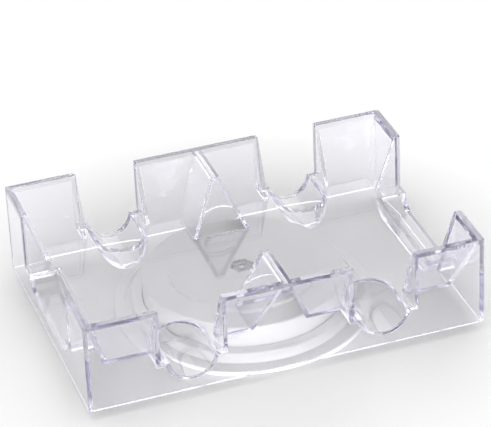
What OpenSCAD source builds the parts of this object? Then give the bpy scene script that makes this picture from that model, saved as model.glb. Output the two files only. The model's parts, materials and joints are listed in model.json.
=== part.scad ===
// Rotating tray for two decks of playing cards, on a low turntable.
// The origin is on the table under the pivot: X along both wells, Y along a card, Z up.

/* [Cards] */
// Width of the cards
card_w = 63.5; // [57:0.5:68]
// Length of the cards
card_l = 88.9; // [82:0.1:96]
// Room between the cards and a sloped panel at the floor, on each long side
card_side_room = 1.1; // [0.8:0.1:4]
// Room between the cards and a sloped panel at the floor, at each short side
card_end_room = 4; // [2:0.5:9]

/* [Tray] */
// Height of the tray's lower edge above the table
ground_gap = 5; // [4:0.5:8]
// Depth of a well from rim to floor
well_depth = 27; // [22:0.5:34]
// Height of the floor's underside above the tray's lower edge
floor_lift = 14; // [13:0.5:20]
// Thickness of the skirt and of the sloped panels
wall_t = 2; // [1.6:0.1:2.4]
// Thickness of the floor
floor_t = 2; // [1.6:0.1:2.6]
// Width of the flat rim
rim_w = 3; // [2.6:0.1:4]
// Width of the flat top of the ridge between the wells
ridge_w = 4; // [3:0.5:8]
// Thickness of the ridge's flat top
crest_t = 2.4; // [2:0.1:3]
// How far the ridge's panels slope in from rim to floor
ridge_run = 11.7; // [8:0.1:14]
// How far the panels at the tray's ends slope in from rim to floor
end_run = 9.6; // [8:0.1:14]
// How far the panels along the tray's front and back slope in from rim to floor
side_run = 12.05; // [8:0.05:14]
// Radius of the tray's upright corners
corner_r = 1.2; // [0.5:0.1:1.6]

/* [Notches] */
// Width of a finger notch in the front or back wall
finger_w = 28.4; // [24:0.1:34]
// How far a finger notch sits off the middle of its well, towards the ridge
finger_shift = 2.1; // [0:0.1:4]
// Width of the scoop below a finger notch
finger_scoop_w = 20.8; // [16:0.2:23]
// Height of a finger scoop's lowest point above the tray's lower edge
finger_low = 6.5; // [5.6:0.1:9]
// How far a finger scoop reaches in from the wall's face
finger_reach = 30; // [26:0.5:32]
// Width of the notches in the end walls
end_notch_w = 72; // [60:1:80]
// Width of the scoop below an end notch
end_scoop_w = 57.6; // [50:0.2:58]
// Height of an end scoop's floor above the tray's lower edge
end_scoop_low = 9; // [6:0.5:12]
// Radius of an end scoop's lower corners
end_scoop_r = 7; // [4:0.5:9]
// Radius of the corners where a notch meets the rim
tab_r = 0.8; // [0.4:0.1:1.2]
// Width of the gap in the ridge at the rim
gap_top_w = 68; // [60:0.5:76]
// Width of the gap in the ridge at the floor
gap_low_w = 56.5; // [50:0.5:60]
// Radius of the arch through the web at each end of the gap
arch_r = 12.4; // [9:0.1:14]

/* [Turntable] */
// Radius of the drum that carries the tray
drum_r = 45.7; // [42:0.1:48]
// Thickness of the drum's wall and top
drum_t = 2; // [1.6:0.1:2.6]
// Radius of the drum's raised seat under the tray's floor
seat_r = 33.5; // [24:0.5:40]
// Height of the drum's raised seat
seat_h = 1.8; // [1:0.1:2.4]
// Width of the base's upright ring round the drum
ring_w = 4.9; // [4.4:0.1:7]
// Height of the base's upright ring above the table
ring_h = 7; // [6:0.1:8]
// Width of the groove round the ring
groove_w = 3.6; // [2:0.1:5]
// Width of the raised edge of the base's flange
bead_w = 4.4; // [3:0.1:8]
// Thickness of the raised edge of the flange
bead_t = 2; // [1.6:0.1:2.4]
// Thickness of the flange's groove
groove_t = 1; // [0.8:0.1:1.4]
// Thickness of the base's floor
base_t = 1.6; // [1.4:0.1:2]
// Number of ribs on the base's floor
rib_count = 6; // [3:1:9]
// Width of a rib
rib_w = 1.6; // [1.2:0.1:2.4]
// Height of a rib
rib_h = 2.5; // [1:0.1:3]
// Radius of the turntable's rounded edges
edge_r = 0.8; // [0.4:0.1:1]

/* [Pivot] */
// Outer radius of the base's hub
hub_r = 8.5; // [8:0.1:11]
// Radius of the bush that turns in the hub
bush_r = 4; // [3.5:0.1:4.8]
// Radius of the recess under the hub
recess_r = 7; // [6.8:0.1:7.2]
// Depth of the recess under the hub
recess_h = 3.6; // [3.3:0.1:4]
// Length of the hub's bore
bore_l = 5; // [4:0.25:6]
// Radius of the washer
washer_r = 6.2; // [5.4:0.1:6.5]
// Thickness of the washer
washer_t = 1; // [0.8:0.1:1.2]
// Radius of the screw's shank
shank_r = 1.75; // [1.5:0.05:2]
// Radius of the screw's head
head_r = 3.7; // [3.2:0.1:4.2]
// Height of the screw's head
head_h = 1.7; // [1.4:0.1:1.8]
// Depth of the crossed slots in the screw's head
slot_h = 0.8; // [0.5:0.1:1]
// Width of the crossed slots in the screw's head
slot_w = 0.8; // [0.5:0.1:1]
// Length of the crossed slots in the screw's head
slot_l = 4.8; // [3:0.1:5.5]
// Corner radius of the six-sided boss under the tray's floor
boss_r = 5.5; // [5:0.1:6.5]
// Wall round the boss's socket in the drum
socket_t = 2; // [1.5:0.1:2.5]
// Thickness of the socket's end, between boss and bush
socket_end = 3; // [2:0.25:4]

/* [Feet] */
// Radius of a rubber foot
foot_r = 6; // [4:0.25:7]
// Thickness of a rubber foot
foot_t = 1.2; // [1:0.05:1.3]
// How far a foot stands out of the base
foot_proud = 0.4; // [0.3:0.05:0.5]
// Distance of the feet from the pivot
foot_place_r = 36; // [30:0.5:38]

/* [Fits] */
// Running clearance of the bush in the hub's bore
bush_gap = 0.05; // [0.02:0.01:0.1]
// Clearance between the drum and the base, beside and below
drum_gap = 0.4; // [0.3:0.05:0.6]
// End play of the hub between the drum and the washer
end_play = 0.3; // [0.2:0.05:0.4]
// Clearance of the boss in its socket and of the screw in its holes
slip_gap = 0.15; // [0.1:0.05:0.25]
// Clearance of the drum's seat and socket below the tray's floor and boss
seat_gap = 0.05; // [0.02:0.01:0.1]
// Clearance of the screw in the boss's pilot hole
pilot_gap = 0.05; // [0.02:0.01:0.08]
// Distance of the pilot hole's end below the tray's floor
pilot_roof = 0.5; // [0.3:0.1:1]
// Space between the screw's tip and the pilot hole's end
tip_gap = 1; // [0.5:0.1:2]

/* [Hidden] */
$fn = 96;
foot_count = 4;
// How far a cut runs past the face that it opens
past = 1;

// The wells' floor follows the cards, and the tray follows the wells
floor_w = card_w + 2 * card_side_room;
floor_l = card_l + 2 * card_end_room;
half_l = ridge_w / 2 + ridge_run + floor_w + end_run + rim_w;
half_w = floor_l / 2 + side_run + rim_w;
floor_under_z = ground_gap + floor_lift;
floor_z = floor_under_z + floor_t;
rim_z = floor_z + well_depth;
well_x = ridge_w / 2 + ridge_run + floor_w / 2;
finger_x = well_x - finger_shift;
finger_z = ground_gap + finger_low + finger_scoop_w / 2;
end_scoop_z = ground_gap + end_scoop_low;
gap_run = (gap_top_w - gap_low_w) / 2;

// Heights of the turntable's pieces
base_z = foot_proud;
base_top_z = base_z + base_t;
recess_z = base_z + recess_h;
hub_top_z = recess_z + bore_l;
socket_z = hub_top_z + end_play;
socket_end_z = socket_z + socket_end;
boss_z = socket_end_z + seat_gap;
drum_top_z = floor_under_z - seat_gap - seat_h;
drum_low_z = base_top_z + drum_gap;
washer_top_z = recess_z - end_play;
washer_z = washer_top_z - washer_t;
ring_in_r = drum_r + drum_gap;
ring_r = ring_in_r + ring_w;
bead_r = ring_r + groove_w;
flange_r = bead_r + bead_w;
socket_hex_r = boss_r + slip_gap;
pilot_end_z = floor_under_z - pilot_roof;
screw_end_z = pilot_end_z - tip_gap;

// Half-lengths of a well and of the ridge's gap at height z, with their panels moved out by grow
function lean(run, grow) = grow * sqrt(1 + pow(run / well_depth, 2));
function slope(run, z) = run * (rim_z - z) / well_depth;
function ridge_x(z, grow) = ridge_w / 2 + slope(ridge_run, z) - lean(ridge_run, grow);
function end_x(z, grow) = half_l - rim_w - slope(end_run, z) + lean(end_run, grow);
function side_y(z, grow) = half_w - rim_w - slope(side_run, z) + lean(side_run, grow);
function gap_y(z, grow) = gap_top_w / 2 - slope(gap_run, z) + lean(gap_run, grow);

// The rectangle from low to high in X and Y, between heights z0 and z1
module block(low, high, z0, z1) {
    translate([low.x, low.y, z0])
        cube([high.x - low.x, high.y - low.y, z1 - z0]);
}

// Both mirror images in X of the children
module both_x() {
    children();
    mirror([1, 0, 0]) children();
}

// Both mirror images in Y of the children
module both_y() {
    children();
    mirror([0, 1, 0]) children();
}

// A rounded rectangle about the origin
module rounded_rectangle(half, r) {
    square(2 * [half.x - r, half.y], center = true);
    square(2 * [half.x, half.y - r], center = true);
    for (x = [-1, 1], y = [-1, 1])
        translate([x * (half.x - r), y * (half.y - r)]) circle(r);
}

// A rectangle from the origin whose far top corner is rounded
module rounded_edge(w, h) {
    square([w - edge_r, h]);
    square([w, h - edge_r]);
    translate([w - edge_r, h - edge_r]) circle(edge_r);
}

// One well down to height low_z, with its panels moved out by grow
module well(grow, low_z) {
    top_z = rim_z + past;
    intersection() {
        rotate([90, 0, 0])
            linear_extrude(2 * half_w + 2 * past, center = true)
                polygon([[ridge_x(low_z, grow), low_z], [end_x(low_z, grow), low_z],
                         [end_x(top_z, grow), top_z], [ridge_x(top_z, grow), top_z]]);
        rotate([90, 0, 90])
            linear_extrude(2 * half_l + 2 * past, center = true)
                polygon([[-side_y(low_z, grow), low_z], [side_y(low_z, grow), low_z],
                         [side_y(top_z, grow), top_z], [-side_y(top_z, grow), top_z]]);
    }
}

// The gap in the ridge between two heights, with its ends moved out by grow
module ridge_gap(grow, low_z, top_z) {
    rotate([90, 0, 90])
        linear_extrude(2 * (ridge_x(floor_z, 0) + past), center = true)
            polygon([[-gap_y(low_z, grow), low_z], [gap_y(low_z, grow), low_z],
                     [gap_y(top_z, grow), top_z], [-gap_y(top_z, grow), top_z]]);
}

// The arches through the webs at both ends of the gap, open down past the floor's edge
module ridge_arches() {
    both_y()
        translate([0, half_w, 0])
            rotate([90, 0, 0])
                linear_extrude(half_w - gap_low_w / 2) {
                    translate([0, floor_z]) circle(arch_r);
                    translate([-arch_r, floor_under_z - past]) square([2 * arch_r, floor_t + past]);
                }
}

// The bay of a finger notch above height low_z, with its sides moved out by grow
module finger_bay(grow, low_z) {
    half = finger_w / 2 + grow;
    block([finger_x - half, floor_l / 2 - past], [finger_x + half, half_w + past], low_z, rim_z + past);
}

// The bay of an end notch above height low_z, with its sides moved out by grow
module end_bay(grow, low_z) {
    half = end_notch_w / 2 + grow;
    block([end_x(floor_z, 0) - past, -half], [half_l + past, half], low_z, rim_z + past);
}

// The scoop below a finger notch, with its walls moved out by grow: round below and round-ended in plan
module finger_scoop(grow) {
    r = finger_scoop_w / 2 + grow;
    end_y = half_w - finger_reach + finger_scoop_w / 2;
    intersection() {
        translate([finger_x, half_w + past, 0])
            rotate([90, 0, 0])
                linear_extrude(finger_reach + grow + 2 * past) {
                    translate([0, finger_z]) circle(r);
                    translate([-r, finger_z]) square([2 * r, rim_z + past - finger_z]);
                }
        linear_extrude(rim_z + past) {
            translate([finger_x, end_y]) circle(r);
            translate([finger_x - r, end_y]) square([2 * r, half_w + past - end_y]);
        }
    }
}

// The scoop below an end notch, with its walls moved out by grow
module end_scoop(grow) {
    r = end_scoop_r + grow;
    half = end_scoop_w / 2 + grow;
    low_z = end_scoop_z - grow;
    low_x = end_x(floor_z, 0) - grow;
    translate([low_x, 0, 0])
        rotate([90, 0, 90])
            linear_extrude(half_l + past - low_x) {
                translate([-half, low_z + r]) square([2 * half, rim_z - low_z - r]);
                translate([r - half, low_z]) square([2 * (half - r), r + past]);
                for (side = [-1, 1])
                    translate([side * (half - r), low_z + r]) circle(r);
            }
}

// The space under the panels and floors, inside the skirt
module underside() {
    inner = [half_l - wall_t, half_w - wall_t];
    difference() {
        block(-inner, inner, ground_gap - past, rim_z - crest_t);
        both_x() well(wall_t, floor_under_z);
        // The floors and webs of the notches' bays and the walls of their scoops stay
        both_x() both_y() finger_bay(wall_t, floor_under_z);
        both_x() both_y() finger_scoop(wall_t);
        both_x() end_bay(wall_t, floor_under_z);
        both_x() end_scoop(wall_t);
        // The floor between the wells and the webs at the gap's ends stay
        difference() {
            ridge_gap(wall_t, floor_under_z, rim_z);
            ridge_arches();
        }
    }
}

// The opening of a notch at the rim, with rounded corners
module notch_mouth(half) {
    difference() {
        translate([-half - tab_r, rim_z - tab_r]) square([2 * (half + tab_r), tab_r + past]);
        for (side = [-1, 1])
            translate([side * (half + tab_r), rim_z - tab_r]) circle(tab_r);
    }
}

// A finger notch: a bay down to the floor, and its scoop
module finger_notch() {
    finger_bay(0, floor_z);
    finger_scoop(0);
    translate([finger_x, half_w + past, 0])
        rotate([90, 0, 0])
            linear_extrude(finger_reach) notch_mouth(finger_w / 2);
}

// An end notch: a bay down to the floor, and its scoop
module end_notch() {
    floor_end = end_x(floor_z, 0);
    end_bay(0, floor_z);
    end_scoop(0);
    translate([floor_end, 0, 0])
        rotate([90, 0, 90])
            linear_extrude(half_l + past - floor_end) notch_mouth(end_notch_w / 2);
}

module card_tray() {
    color([0.90, 0.90, 0.95, 0.45])
    difference() {
        union() {
            difference() {
                translate([0, 0, ground_gap])
                    linear_extrude(rim_z - ground_gap) rounded_rectangle([half_l, half_w], corner_r);
                underside();
            }
            translate([0, 0, boss_z]) cylinder(r = boss_r, h = floor_z - boss_z, $fn = 6);
        }
        both_x() well(0, floor_z);
        both_x() both_y() finger_notch();
        both_x() end_notch();
        ridge_gap(0, floor_z, rim_z + past);
        translate([0, 0, boss_z - past]) cylinder(r = shank_r + pilot_gap, h = pilot_end_z - boss_z + past);
    }
}

module swivel_drum() {
    socket_r = socket_hex_r + socket_t;
    color([0.96, 0.96, 0.96])
    difference() {
        union() {
            rotate_extrude() {
                translate([drum_r - drum_t, drum_low_z]) rounded_edge(drum_t, drum_top_z - drum_low_z);
                translate([0, drum_top_z - drum_t]) square([drum_r - drum_t / 2, drum_t]);
            }
            translate([0, 0, drum_top_z - drum_t]) cylinder(r = seat_r, h = seat_h + drum_t);
            translate([0, 0, socket_z]) cylinder(r = socket_r, h = drum_top_z - socket_z);
        }
        translate([0, 0, socket_end_z]) cylinder(r = socket_hex_r, h = floor_z - socket_end_z, $fn = 6);
        translate([0, 0, socket_z - past]) cylinder(r = shank_r + slip_gap, h = socket_end + 2 * past);
    }
}

module turntable_base() {
    core_in_r = ring_in_r + base_t;
    core_w = ring_w - 2 * base_t;
    color([0.96, 0.96, 0.96])
    difference() {
        union() {
            rotate_extrude() {
                translate([0, base_z]) square([ring_in_r + past, base_t]);
                translate([ring_in_r, base_z]) rounded_edge(ring_w, ring_h - base_z);
                translate([ring_r - past, base_z]) square([groove_w + 2 * past, groove_t]);
                translate([bead_r, base_z]) rounded_edge(bead_w, bead_t);
            }
            translate([0, 0, base_z]) cylinder(r = hub_r, h = hub_top_z - base_z);
            for (i = [0 : rib_count - 1])
                rotate((i + 0.5) * 360 / rib_count)
                    translate([hub_r - past, -rib_w / 2, base_z])
                        cube([drum_r - drum_t - drum_gap - hub_r + past, rib_w, base_t + rib_h]);
        }
        // The ring's hollow underside
        rotate_extrude()
            translate([core_in_r, base_z - past]) square([core_w, ring_h - base_t - base_z + past]);
        translate([0, 0, base_z - past]) cylinder(r = recess_r, h = recess_h + past);
        cylinder(r = bush_r + bush_gap, h = hub_top_z + past);
        for (i = [0 : foot_count - 1])
            foot_place(i) cylinder(r = foot_r + slip_gap, h = foot_t);
    }
}

module pivot_bush() {
    color([0.93, 0.92, 0.88])
    translate([0, 0, washer_top_z])
        difference() {
            cylinder(r = bush_r, h = socket_z - washer_top_z);
            translate([0, 0, -past]) cylinder(r = shank_r + slip_gap, h = socket_z - washer_top_z + 2 * past);
        }
}

module pivot_washer() {
    color([0.75, 0.75, 0.77])
    translate([0, 0, washer_z])
        difference() {
            cylinder(r = washer_r, h = washer_t);
            translate([0, 0, -past]) cylinder(r = shank_r + slip_gap, h = washer_t + 2 * past);
        }
}

module pivot_screw() {
    head_z = washer_z - head_h;
    color([0.72, 0.72, 0.75])
    difference() {
        union() {
            rotate_extrude() translate([0, washer_z]) mirror([0, 1]) rounded_edge(head_r, head_h);
            translate([0, 0, washer_z - head_h / 2])
                cylinder(r = shank_r, h = screw_end_z - washer_z + head_h / 2);
        }
        for (turn = [0, 90])
            rotate(turn)
                translate([0, 0, head_z])
                    cube([slot_l, slot_w, 2 * slot_h], center = true);
    }
}

// The place of foot i, standing on the table
module foot_place(i) {
    rotate((i + 0.5) * 360 / foot_count)
        translate([foot_place_r, 0, 0]) children();
}

module foot(i) {
    color([0.25, 0.25, 0.27])
    foot_place(i) cylinder(r = foot_r, h = foot_t);
}

module foot_1() foot(0);
module foot_2() foot(1);
module foot_3() foot(2);
module foot_4() foot(3);

card_tray();
swivel_drum();
turntable_base();
pivot_bush();
pivot_washer();
pivot_screw();
foot_1();
foot_2();
foot_3();
foot_4();
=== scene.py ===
import json
import math

import bmesh
import bpy
from mathutils import Matrix, Vector


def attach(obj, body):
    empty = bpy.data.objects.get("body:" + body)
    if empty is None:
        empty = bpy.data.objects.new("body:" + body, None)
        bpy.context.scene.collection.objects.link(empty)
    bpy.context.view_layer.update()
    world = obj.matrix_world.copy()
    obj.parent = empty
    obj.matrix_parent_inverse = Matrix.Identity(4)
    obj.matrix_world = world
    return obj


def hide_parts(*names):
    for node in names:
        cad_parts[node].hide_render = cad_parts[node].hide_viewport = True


# Looks of a rotating tray for playing cards: a clear moulded tray on a white turntable.
# Lengths are in metres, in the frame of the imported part.
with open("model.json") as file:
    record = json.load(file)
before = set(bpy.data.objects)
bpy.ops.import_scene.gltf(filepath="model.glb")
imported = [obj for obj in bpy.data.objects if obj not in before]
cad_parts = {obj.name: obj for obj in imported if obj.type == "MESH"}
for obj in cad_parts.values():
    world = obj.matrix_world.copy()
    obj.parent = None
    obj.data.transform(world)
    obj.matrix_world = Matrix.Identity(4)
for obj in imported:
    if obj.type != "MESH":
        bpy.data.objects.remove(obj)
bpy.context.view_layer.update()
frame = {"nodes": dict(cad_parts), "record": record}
MM = 0.001
WHITE = (1, 1, 1, 1)

# Camera, at the photograph's viewing angle
IMAGE_WIDTH = 491
FOCAL_PIXELS = 2749.6
VIEW_AZIMUTH = math.radians(-17.934)
VIEW_ELEVATION = math.radians(31.332)
VIEW_ROLL = math.radians(-2.627)
VIEW_DISTANCE = 1255.4 * MM
VIEW_AIM = Vector((8.66, 17.91, 35.37)) * MM
CLIP_START = 10 * MM

# Light. The sky lights the object less than it is seen, which is plain white.
SKY_STRENGTH = 0.50
SEEN_STRENGTH = 1.0
LAMPS = {"top": {"place": Vector((-0.15, -0.25, 1.50)), "size": (1.2, 1.2), "power": 5.5},
         "front": {"place": Vector((-0.50, -1.50, 0.30)), "size": (1.6, 0.5), "power": 28},
         "back": {"place": Vector((0.42, 1.30, 0.83)), "size": (1.2, 1.2), "power": 3.5}}
LIGHT_BOUNCES = 160

# Floor. It turns plain white between two distances from the pivot.
FLOOR_HALF = 6.0
FLOOR_COLOUR = (0.97, 0.97, 0.97, 1)
FLOOR_ROUGHNESS = 0.9
FADE_START = 0.10
FADE_END = 0.155

# Clear plastic. Each noise has its scale in cells per metre.
CLEAR_IOR = 1.5
CLEAR_COLOUR = (0.985, 0.981, 1.0, 1)
CLEAR_TINT = (0.60, 0.59, 0.70, 1)
CLEAR_DENSITY = 21
CLEAR_ROUGHNESS = (0.0, 0.04)
SCRATCHES = {"scale": 260, "detail": 3, "roughness": 0.6, "stretch": (1, 7, 7)}
SCRATCH_RANGE = (0.55, 0.8)
WAVES = {"scale": 45, "detail": 1}
WAVE_DEPTH = 0.01 * MM

# Rounded edges of the clear tray
EDGE_RADIUS = 0.3 * MM
EDGE_STEPS = 2
EDGE_PROFILE = 0.5
WELD = 0.002 * MM
FLAT_ANGLE = math.radians(0.5)
SHARP_ANGLE = math.radians(20)
FLAT_WEIGHT = 100

# Opaque finishes: two colours and two roughnesses, a noise that moves between each pair, and a bump
FINISHES = {
    # White satin moulding with the fine grain of its mould
    "white_plastic": {
        "colours": ((0.945, 0.945, 0.95, 1), (0.97, 0.97, 0.965, 1)), "patches": {"scale": 30, "detail": 3},
        "roughness": (0.30, 0.42), "dull": {"scale": 140, "detail": 4},
        "grain": {"scale": 2600, "detail": 2}, "depth": 0.01 * MM},
    # Natural acetal, turned, with faint rings
    "bush_plastic": {
        "colours": ((0.84, 0.82, 0.76, 1), (0.89, 0.87, 0.81, 1)), "patches": {"scale": 300, "detail": 2},
        "roughness": (0.35, 0.5), "dull": {"scale": 900, "detail": 2, "stretch": (0.05, 0.05, 3)},
        "grain": {"scale": 900, "detail": 2, "stretch": (0.05, 0.05, 3)}, "depth": 0.01 * MM},
    # Bright zinc plate with small dull patches and fine marks
    "plated_steel": {
        "colours": ((0.60, 0.61, 0.64, 1), (0.72, 0.72, 0.73, 1)), "patches": {"scale": 500, "detail": 3},
        "roughness": (0.18, 0.4), "dull": {"scale": 1200, "detail": 3},
        "grain": {"scale": 2000, "detail": 2}, "depth": 0.005 * MM, "metallic": 1.0},
    # Dark matt rubber with a fine grain
    "foot_rubber": {
        "colours": ((0.045, 0.045, 0.05, 1), (0.075, 0.075, 0.08, 1)), "patches": {"scale": 400, "detail": 3},
        "roughness": (0.7, 0.9), "dull": {"scale": 900, "detail": 3},
        "grain": {"scale": 3000, "detail": 2}, "depth": 0.03 * MM}}


# Helpers for shader nodes

def new_material(name):
    """A material with a Principled shader. Returns the material, its node tree and the shader."""
    material = bpy.data.materials.new(name)
    material.use_nodes = True
    tree = material.node_tree
    return material, tree, tree.nodes["Principled BSDF"]


def set_inputs(node, **values):
    """Sets the node's inputs, whose names are written with _ for a space."""
    for name, value in values.items():
        node.inputs[name.replace("_", " ")].default_value = value


def object_place(tree):
    """The surface point in the part's own frame."""
    return tree.nodes.new("ShaderNodeTexCoord").outputs["Object"]


def noise(tree, scale, detail, roughness=0.5, stretch=None):
    """Noise of the part's own place, with scale in cells per metre. Returns the factor."""
    place = object_place(tree)
    if stretch:
        mapping = tree.nodes.new("ShaderNodeMapping")
        mapping.inputs["Scale"].default_value = stretch
        tree.links.new(place, mapping.inputs["Vector"])
        place = mapping.outputs["Vector"]
    texture = tree.nodes.new("ShaderNodeTexNoise")
    set_inputs(texture, Scale=scale, Detail=detail, Roughness=roughness)
    tree.links.new(place, texture.inputs["Vector"])
    return texture.outputs["Fac"]


def spread(tree, value, low, high, start=0.0, end=1.0):
    """Maps value from start..end to low..high."""
    node = tree.nodes.new("ShaderNodeMapRange")
    set_inputs(node, From_Min=start, From_Max=end, To_Min=low, To_Max=high)
    tree.links.new(value, node.inputs["Value"])
    return node.outputs["Result"]


def between(tree, factor, first, second):
    """The colour between first and second, by factor."""
    node = tree.nodes.new("ShaderNodeMix")
    node.data_type = "RGBA"
    node.inputs["A"].default_value = first
    node.inputs["B"].default_value = second
    tree.links.new(factor, node.inputs["Factor"])
    return node.outputs["Result"]


def bump(tree, height, depth):
    """A bump of that depth in metres. Returns the normal."""
    node = tree.nodes.new("ShaderNodeBump")
    set_inputs(node, Strength=1.0, Distance=depth)
    tree.links.new(height, node.inputs["Height"])
    return node.outputs["Normal"]


def calculate(tree, operation, first, second):
    """The result of a math node on two values, of which the second may be a number."""
    node = tree.nodes.new("ShaderNodeMath")
    node.operation = operation
    tree.links.new(first, node.inputs[0])
    if isinstance(second, float):
        node.inputs[1].default_value = second
    else:
        tree.links.new(second, node.inputs[1])
    return node.outputs["Value"]


def seen_directly(tree):
    """1 for a camera, glossy or transmission ray that met nothing matt on its way, else 0."""
    path = tree.nodes.new("ShaderNodeLightPath").outputs
    clear = calculate(tree, "MAXIMUM", path["Is Glossy Ray"], path["Is Transmission Ray"])
    seen = calculate(tree, "MAXIMUM", path["Is Camera Ray"], clear)
    first = calculate(tree, "LESS_THAN", path["Diffuse Depth"], 0.5)
    return calculate(tree, "MULTIPLY", seen, first)


# Materials

def make_clear_plastic():
    """Clear polished moulding, which turns violet-grey where it is seen edge on."""
    material, tree, shader = new_material("clear_plastic")
    set_inputs(shader, Base_Color=CLEAR_COLOUR, Transmission_Weight=1.0, IOR=CLEAR_IOR)
    scratches = spread(tree, noise(tree, **SCRATCHES), *CLEAR_ROUGHNESS, *SCRATCH_RANGE)
    tree.links.new(scratches, shader.inputs["Roughness"])
    waves = bump(tree, noise(tree, **WAVES), WAVE_DEPTH)
    tree.links.new(waves, shader.inputs["Normal"])
    absorption = tree.nodes.new("ShaderNodeVolumeAbsorption")
    set_inputs(absorption, Color=CLEAR_TINT, Density=CLEAR_DENSITY)
    output = tree.nodes["Material Output"]
    tree.links.new(absorption.outputs["Volume"], output.inputs["Volume"])
    return material


def make_finish(name, colours, patches, roughness, dull, grain, depth, metallic=0.0):
    """An opaque material, whose colour, roughness and bump each follow a noise."""
    material, tree, shader = new_material(name)
    set_inputs(shader, Metallic=metallic)
    tree.links.new(between(tree, noise(tree, **patches), *colours), shader.inputs["Base Color"])
    tree.links.new(spread(tree, noise(tree, **dull), *roughness), shader.inputs["Roughness"])
    tree.links.new(bump(tree, noise(tree, **grain), depth), shader.inputs["Normal"])
    return material


# Pieces

def rounded_copy(node, name, radius):
    """A new piece with the CAD node's shape and its sharp edges rounded."""
    piece = bpy.data.objects.new(name, frame["nodes"][node].data.copy())
    bpy.context.scene.collection.objects.link(piece)
    mesh = bmesh.new()
    mesh.from_mesh(piece.data)
    bmesh.ops.remove_doubles(mesh, verts=mesh.verts, dist=WELD)
    bmesh.ops.dissolve_limit(mesh, angle_limit=FLAT_ANGLE, verts=mesh.verts, edges=mesh.edges)
    sharp = [edge for edge in mesh.edges if edge.is_manifold and edge.calc_face_angle() > SHARP_ANGLE]
    bmesh.ops.bevel(mesh, geom=sharp, offset=radius, offset_type="OFFSET", segments=EDGE_STEPS,
                    profile=EDGE_PROFILE, affect="EDGES", clamp_overlap=False)
    mesh.to_mesh(piece.data)
    mesh.free()
    piece.data.shade_smooth()
    weighted = piece.modifiers.new("flat_faces", "WEIGHTED_NORMAL")
    weighted.mode = "FACE_AREA"
    weighted.weight = FLAT_WEIGHT
    return piece


def dress(piece, material):
    """Gives the piece that one material, in place of its others."""
    piece.data.materials.clear()
    piece.data.materials.append(material)


def add_pieces():
    """The tray's clear moulding, and the finish of every other piece."""
    tray = rounded_copy("card_tray", "clear_tray", EDGE_RADIUS)
    dress(tray, make_clear_plastic())
    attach(tray, "tray")
    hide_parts("card_tray")
    finishes = {slot: make_finish(slot, **look) for slot, look in FINISHES.items()}
    for part in frame["record"]["subparts"]:
        slot = part["material_slot"]
        if slot in finishes:
            dress(frame["nodes"][part["node"]], finishes[slot])


# Stage

def add_camera():
    """The camera of the photograph."""
    back = Vector((math.sin(VIEW_AZIMUTH) * math.cos(VIEW_ELEVATION),
                   -math.cos(VIEW_AZIMUTH) * math.cos(VIEW_ELEVATION),
                   math.sin(VIEW_ELEVATION)))
    across = Vector((math.cos(VIEW_AZIMUTH), math.sin(VIEW_AZIMUTH), 0))
    axes = Matrix((across, back.cross(across), back)).transposed()
    turn = axes @ Matrix.Rotation(VIEW_ROLL, 3, "Z")
    data = bpy.data.cameras.new("camera")
    data.lens = FOCAL_PIXELS * data.sensor_width / IMAGE_WIDTH
    data.clip_start = CLIP_START
    camera = bpy.data.objects.new("camera", data)
    camera.matrix_world = Matrix.Translation(VIEW_AIM + VIEW_DISTANCE * back) @ turn.to_4x4()
    bpy.context.scene.collection.objects.link(camera)
    bpy.context.scene.camera = camera


def add_sky():
    """A pale sky, which is plain white where it is seen."""
    world = bpy.data.worlds.new("studio")
    bpy.context.scene.world = world
    world.use_nodes = True
    tree = world.node_tree
    light = tree.nodes["Background"]
    set_inputs(light, Color=WHITE, Strength=SKY_STRENGTH)
    white = tree.nodes.new("ShaderNodeBackground")
    set_inputs(white, Color=WHITE, Strength=SEEN_STRENGTH)
    mix = tree.nodes.new("ShaderNodeMixShader")
    tree.links.new(seen_directly(tree), mix.inputs["Fac"])
    tree.links.new(light.outputs["Background"], mix.inputs[1])
    tree.links.new(white.outputs["Background"], mix.inputs[2])
    tree.links.new(mix.outputs["Shader"], tree.nodes["World Output"].inputs["Surface"])


def add_lamps():
    """Large soft lamps, which face the object."""
    for name, lamp in LAMPS.items():
        data = bpy.data.lights.new(name, "AREA")
        data.shape = "RECTANGLE"
        data.size, data.size_y = lamp["size"]
        data.energy = lamp["power"]
        piece = bpy.data.objects.new(name, data)
        piece.location = lamp["place"]
        piece.rotation_euler = lamp["place"].to_track_quat("Z", "Y").to_euler()
        bpy.context.scene.collection.objects.link(piece)


def add_floor():
    """A pale floor that keeps the shadow near the object and turns plain white further out."""
    bpy.ops.mesh.primitive_plane_add(size=2 * FLOOR_HALF)
    floor = bpy.context.object
    floor.name = "floor"
    material, tree, shader = new_material("floor")
    set_inputs(shader, Base_Color=FLOOR_COLOUR, Roughness=FLOOR_ROUGHNESS)
    length = tree.nodes.new("ShaderNodeVectorMath")
    length.operation = "LENGTH"
    tree.links.new(object_place(tree), length.inputs[0])
    fade = spread(tree, length.outputs["Value"], 0, 1, FADE_START, FADE_END)
    far = calculate(tree, "MULTIPLY", fade, seen_directly(tree))
    white = tree.nodes.new("ShaderNodeEmission")
    set_inputs(white, Color=WHITE, Strength=SEEN_STRENGTH)
    mix = tree.nodes.new("ShaderNodeMixShader")
    tree.links.new(far, mix.inputs["Fac"])
    tree.links.new(shader.outputs["BSDF"], mix.inputs[1])
    tree.links.new(white.outputs["Emission"], mix.inputs[2])
    tree.links.new(mix.outputs["Shader"], tree.nodes["Material Output"].inputs["Surface"])
    floor.data.materials.append(material)


add_camera()
add_sky()
add_lamps()
add_floor()
add_pieces()
bpy.context.scene.view_settings.view_transform = "Standard"
bpy.context.scene.cycles.max_bounces = LIGHT_BOUNCES
bpy.context.scene.cycles.glossy_bounces = LIGHT_BOUNCES
bpy.context.scene.cycles.transmission_bounces = LIGHT_BOUNCES
